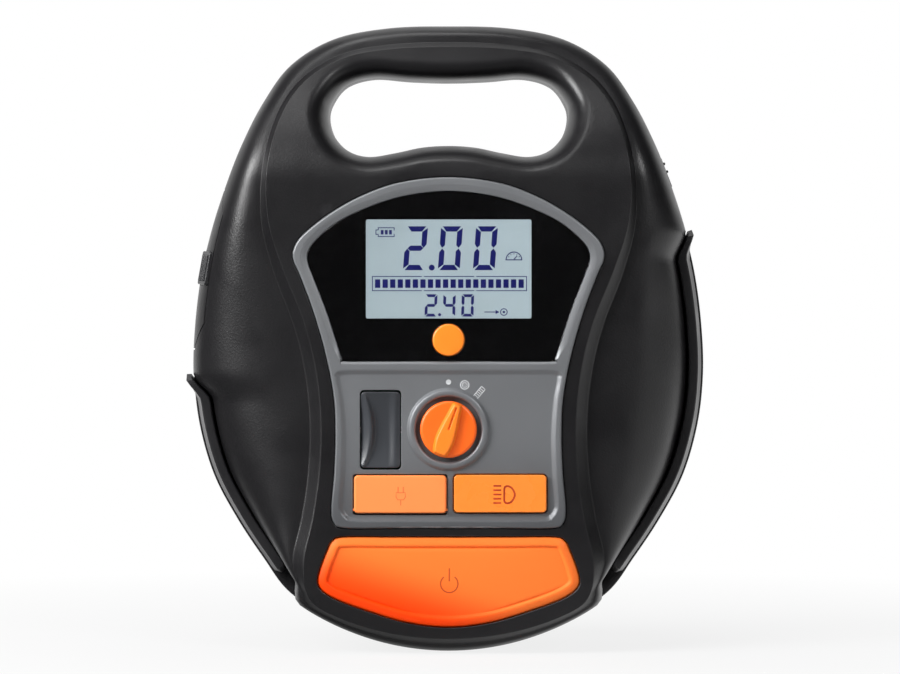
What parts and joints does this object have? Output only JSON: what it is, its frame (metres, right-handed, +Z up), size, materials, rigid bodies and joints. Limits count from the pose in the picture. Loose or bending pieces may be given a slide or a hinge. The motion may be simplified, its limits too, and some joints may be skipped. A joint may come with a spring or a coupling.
{
  "type": "tyre inflator with gauge",
  "caption": "Portable cordless tyre inflator with carrying handle, display gauge, mode knob, push controls and an internal piston compressor.",
  "frame": {"origin": "middle of the small flat that the body stands on, on the parting plane of the two shells", "axes": "+Z up towards the handle, the display faces -Y, +X to the user's right hand side of the display"},
  "size_m": [0.2171, 0.0949, 0.2596],
  "materials": {
    "shell": "fine moulded texture",
    "shell_back": "fine moulded texture",
    "rail": "satin moulded",
    "bezel_grey": "satin grey",
    "lens_black": "polished black window",
    "lcd": "pale backlit",
    "white_plastic": "smooth",
    "orange_gloss": "semi gloss",
    "orange_matte": "matte",
    "switch_blue": "smooth",
    "dark_grey": "smooth",
    "steel": "plain",
    "nickel": "plated",
    "board_green": "solder resist",
    "cell_blue": "shrink sleeve",
    "brass": "turned",
    "crank_metal": "sintered",
    "alu": "die cast",
    "seal_white": "cup seal",
    "line_clear": "silicone tube",
    "rubber_black": "matte",
    "latch_grey": "satin grey",
    "lamp_clear": "clear moulding",
    "mirror": "metallised"
  },
  "bodies": {
    "housing": {"front_shell": "shell", "rear_shell": "shell_back", "left_rail": "rail", "right_rail": "rail", "control_panel": "bezel_grey", "display_lens": "lens_black", "lcd_glass": "lcd", "lcd_backlight": "white_plastic", "mode_switch": "switch_blue", "rocker_pin": "steel", "usb_socket": "nickel", "main_board": "board_green", "tact_switches": "dark_grey", "board_screws": "steel", "pressure_sensor": "dark_grey", "battery_cells": "cell_blue", "battery_holder": "rail", "motor_can": "nickel", "gear_plate": "steel", "crank_bearing": "steel", "air_cylinder": "alu", "cylinder_head": "alu", "air_line": "line_clear", "hose_gland": "rubber_black", "charge_socket": "dark_grey", "door_pin": "steel", "adaptor_tray": "dark_grey", "lamp_lens": "lamp_clear", "lamp_reflector": "mirror", "led_board": "white_plastic", "rear_feet": "rubber_black", "case_screws": "steel"},
    "unit_key": {"unit_button": "orange_gloss"},
    "knob": {"mode_knob": "orange_gloss"},
    "rocker": {"set_rocker": "dark_grey"},
    "usb_flap": {"usb_cover": "orange_matte"},
    "light_key": {"light_button": "orange_gloss"},
    "power_key": {"power_button": "orange_gloss"},
    "rotor": {"motor_pinion": "brass"},
    "crank": {"crank_gear": "crank_metal"},
    "piston": {"piston_rod": "alu", "piston_seal": "seal_white"},
    "charge_flap": {"charge_cover": "rubber_black"},
    "door": {"side_door": "rail"},
    "latch": {"door_latch": "latch_grey"}
  },
  "joints": [
    {"name": "unit_press", "type": "slide", "parent": "housing", "child": "unit_key", "axis": [0, 1, 0], "range_m": [0, 0.0008], "stiffness_N_per_m": 1500, "springref_m": -0.0008},
    {"name": "knob_turn", "type": "hinge", "parent": "housing", "child": "knob", "pos_m": [0, -0.045, 0.0917], "axis": [0, 1, 0], "range_deg": [-20, 20]},
    {"name": "rocker_tilt", "type": "hinge", "parent": "housing", "child": "rocker", "pos_m": [-0.0277, -0.0395, 0.0915], "axis": [1, 0, 0], "range_deg": [-5, 5], "stiffness_Nm_per_rad": 0.25},
    {"name": "usb_flap_turn", "type": "hinge", "parent": "housing", "child": "usb_flap", "pos_m": [-0.0197, -0.043, 0.0587], "axis": [1, 0, 0], "range_deg": [0, 90]},
    {"name": "light_press", "type": "slide", "parent": "housing", "child": "light_key", "axis": [0, 1, 0], "range_m": [0, 0.001], "stiffness_N_per_m": 1500, "springref_m": -0.0008},
    {"name": "power_press", "type": "slide", "parent": "housing", "child": "power_key", "axis": [0, 1, 0], "range_m": [0, 0.0015], "stiffness_N_per_m": 1500, "springref_m": -0.001},
    {"name": "motor_spin", "type": "hinge", "parent": "housing", "child": "rotor", "pos_m": [0, 0.012, 0.047], "axis": [1, 0, 0], "continuous": true},
    {"name": "crank_spin", "type": "hinge", "parent": "housing", "child": "crank", "pos_m": [0, 0.012, 0.07425], "axis": [1, 0, 0], "continuous": true},
    {"name": "piston_stroke", "type": "slide", "parent": "housing", "child": "piston", "axis": [0, 0, -1], "range_m": [0, 0.014]},
    {"name": "charge_flap_turn", "type": "hinge", "parent": "housing", "child": "charge_flap", "pos_m": [0.09234, 0.001, 0.19011], "axis": [0, 1, 0], "range_deg": [0, 80]},
    {"name": "door_swing", "type": "hinge", "parent": "housing", "child": "door", "pos_m": [-0.1013, 0.0242, 0.1575], "axis": [-0.184, 0, -0.9829], "range_deg": [0, 90]},
    {"name": "latch_slide", "type": "slide", "parent": "door", "child": "latch", "axis": [-0.2879, 0.9563, 0.0508], "range_m": [0, 0.0012], "stiffness_N_per_m": 600, "springref_m": -0.0005}
  ],
  "couplings": [
    {"joint": "motor_spin", "follows": "crank_spin", "ratio": -4.4}
  ]
}
